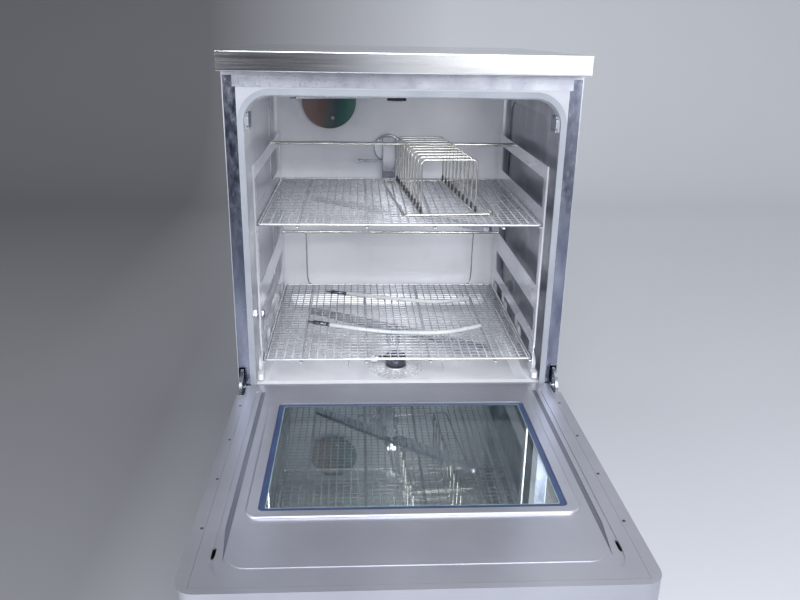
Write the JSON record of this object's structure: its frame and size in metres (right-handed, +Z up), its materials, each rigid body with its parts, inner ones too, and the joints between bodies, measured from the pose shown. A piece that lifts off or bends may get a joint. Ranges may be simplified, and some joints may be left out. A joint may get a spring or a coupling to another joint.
{
  "type": "instrument washer disinfector",
  "caption": "Under-counter instrument washer disinfector: steel cabinet with drop-down glazed door, roll-out basket trolley, spray arms, plate rack and hoses.",
  "frame": {"origin": "on the floor at mid-width under the cabinet's front plane, where the open door meets the body; the bottom centre of the whole with its door open, to within 4 mm", "axes": "+X to the machine's left-to-right seen from the front, +Y to its back, +Z up"},
  "size_m": [0.6, 1.133, 0.85],
  "materials": {
    "lid_steel": "brushed",
    "panel_steel": "brushed",
    "post_steel": "brushed, mottled",
    "chamber_steel": "polished",
    "door_steel": "satin",
    "zinc_steel": "zinc plated",
    "wire": "polished",
    "arm_steel": "satin",
    "seal_rubber": "smooth",
    "glass": "clear",
    "dark_plastic": "fine grain",
    "white_plastic": "smooth",
    "grey_plastic": "smooth",
    "pump_metal": "cast",
    "jacket_felt": "felt",
    "hose_silicone": "translucent",
    "brass": "machined",
    "display_glass": "glossy"
  },
  "bodies": {
    "cabinet": {"base_tray": "zinc_steel", "levelling_feet": "grey_plastic", "side_panels": "panel_steel", "rear_panel": "zinc_steel", "lid": "lid_steel", "top_rail": "panel_steel", "front_posts": "post_steel", "opening_flange": "panel_steel", "door_seal": "seal_rubber", "wash_chamber": "chamber_steel", "thermal_jacket": "jacket_felt", "sump": "chamber_steel", "heating_element": "wire", "circulation_pump": "pump_metal", "supply_pipes": "arm_steel", "docking_port": "wire", "baffle_disc": "chamber_steel", "temperature_probe": "wire", "drain_pump": "grey_plastic", "dosing_pumps": "grey_plastic", "rear_connections": "brass", "control_box": "grey_plastic", "drying_blower": "grey_plastic", "service_panel": "panel_steel", "plinth_panel": "panel_steel", "cabinet_screws": "wire", "door_lock": "arm_steel", "hinge_brackets": "arm_steel"},
    "door": {"door_outer_panel": "door_steel", "door_inner_panel": "door_steel", "inner_window": "glass", "window_spacer": "dark_plastic", "outer_window": "glass", "door_screws": "wire", "door_handle": "arm_steel", "control_fascia": "dark_plastic", "display_module": "display_glass", "hinge_arms": "wire"},
    "start_key_body": {"start_key": "grey_plastic"},
    "stop_key_body": {"stop_key": "grey_plastic"},
    "program_key_body": {"program_key": "grey_plastic"},
    "lock": {"lock_bolts": "arm_steel"},
    "filter": {"fine_filter": "chamber_steel"},
    "lower_arm": {"lower_spray_arm": "arm_steel"},
    "ceiling_arm": {"ceiling_spray_arm": "arm_steel"},
    "trolley": {"trolley_sides": "arm_steel", "trolley_bumpers": "white_plastic", "trolley_cross_rods": "wire", "upper_shelf": "wire", "lower_shelf": "wire", "feed_duct": "arm_steel", "hose_rear": "hose_silicone", "hose_front": "hose_silicone", "hose_connectors": "wire"},
    "middle_arm": {"middle_spray_arm": "arm_steel"},
    "roller_1": {"roller_pair_1": "white_plastic"},
    "roller_2": {"roller_pair_2": "white_plastic"},
    "roller_3": {"roller_pair_3": "white_plastic"},
    "roller_4": {"roller_pair_4": "white_plastic"},
    "rack": {"plate_rack": "wire"}
  },
  "joints": [
    {"name": "door_hinge", "type": "hinge", "parent": "cabinet", "child": "door", "pos_m": [0, -0.005, 0.254], "axis": [1, 0, 0], "range_deg": [-90, 0]},
    {"name": "trolley_slide", "type": "slide", "parent": "cabinet", "child": "trolley", "axis": [0, -1, 0], "range_m": [0, 0.45]},
    {"name": "rack_lift", "type": "slide", "parent": "trolley", "child": "rack", "axis": [0, 0, 1], "range_m": [0, 0.08]},
    {"name": "filter_turn", "type": "hinge", "parent": "cabinet", "child": "filter", "pos_m": [0, 0.133, 0.23], "axis": [0, 0, 1], "range_deg": [0, 60]},
    {"name": "lock_slide", "type": "slide", "parent": "cabinet", "child": "lock", "axis": [0, -1, 0], "range_m": [0, 0.014]},
    {"name": "lower_arm_spin", "type": "hinge", "parent": "cabinet", "child": "lower_arm", "pos_m": [0, 0.255, 0.268], "axis": [0, 0, 1], "continuous": true},
    {"name": "ceiling_arm_spin", "type": "hinge", "parent": "cabinet", "child": "ceiling_arm", "pos_m": [0, 0.255, 0.763], "axis": [0, 0, 1], "continuous": true},
    {"name": "middle_arm_spin", "type": "hinge", "parent": "trolley", "child": "middle_arm", "pos_m": [0, 0.26, 0.526], "axis": [0, 0, 1], "continuous": true},
    {"name": "start_key_press", "type": "slide", "parent": "door", "child": "start_key_body", "axis": [0, 0, 1], "range_m": [0, 0.0015], "stiffness_N_per_m": 1200},
    {"name": "stop_key_press", "type": "slide", "parent": "door", "child": "stop_key_body", "axis": [0, 0, 1], "range_m": [0, 0.0015], "stiffness_N_per_m": 1200},
    {"name": "program_key_press", "type": "slide", "parent": "door", "child": "program_key_body", "axis": [0, 0, 1], "range_m": [0, 0.0015], "stiffness_N_per_m": 1200},
    {"name": "roller_1_spin", "type": "hinge", "parent": "trolley", "child": "roller_1", "pos_m": [0, 0.049, 0.2793], "axis": [1, 0, 0], "continuous": true},
    {"name": "roller_2_spin", "type": "hinge", "parent": "trolley", "child": "roller_2", "pos_m": [0, 0.19, 0.2793], "axis": [1, 0, 0], "continuous": true},
    {"name": "roller_3_spin", "type": "hinge", "parent": "trolley", "child": "roller_3", "pos_m": [0, 0.345, 0.2793], "axis": [1, 0, 0], "continuous": true},
    {"name": "roller_4_spin", "type": "hinge", "parent": "trolley", "child": "roller_4", "pos_m": [0, 0.481, 0.2793], "axis": [1, 0, 0], "continuous": true}
  ],
  "couplings": [
    {"joint": "roller_1_spin", "follows": "trolley_slide", "rad_per_m": 45.455},
    {"joint": "roller_2_spin", "follows": "trolley_slide", "rad_per_m": 45.455},
    {"joint": "roller_3_spin", "follows": "trolley_slide", "rad_per_m": 45.455},
    {"joint": "roller_4_spin", "follows": "trolley_slide", "rad_per_m": 45.455}
  ]
}
